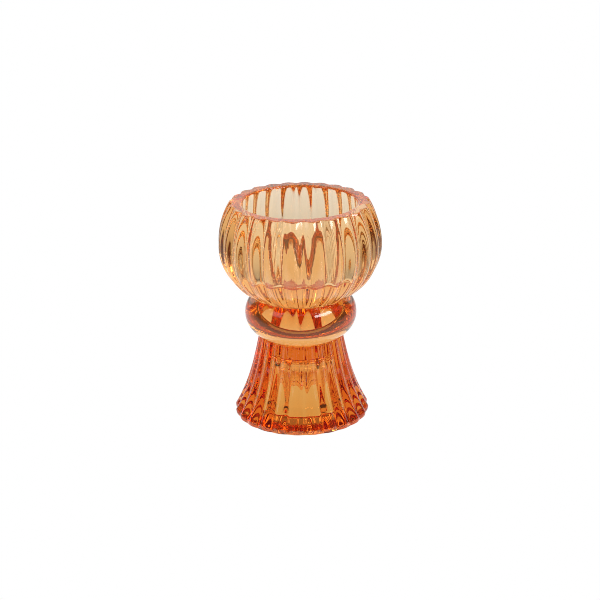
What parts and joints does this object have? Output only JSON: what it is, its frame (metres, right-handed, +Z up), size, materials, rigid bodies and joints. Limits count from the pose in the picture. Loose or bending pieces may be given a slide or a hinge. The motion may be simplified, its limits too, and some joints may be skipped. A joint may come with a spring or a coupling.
{
  "type": "tealight holder",
  "caption": "Footed amber glass candle holder with a ribbed bowl for a tealight, a smooth knop and a ribbed flared foot with a dinner candle socket underneath.",
  "frame": {"origin": "centre of the underside of the foot, on the holder's vertical axis, at the level of the ring that it stands on", "axes": "+Z up along the axis of revolution, from the foot to the bowl; -Y and +X each point along the crest of a rib"},
  "size_m": [0.063, 0.063, 0.086],
  "materials": {
    "bowl_glass": "clear amber glass, fire-polished",
    "knop_glass": "clear deep amber glass, fire-polished",
    "foot_glass": "clear orange-amber glass, fire-polished"
  },
  "bodies": {
    "root": {"bowl": "bowl_glass", "knop": "knop_glass", "foot": "foot_glass"}
  },
  "joints": []
}
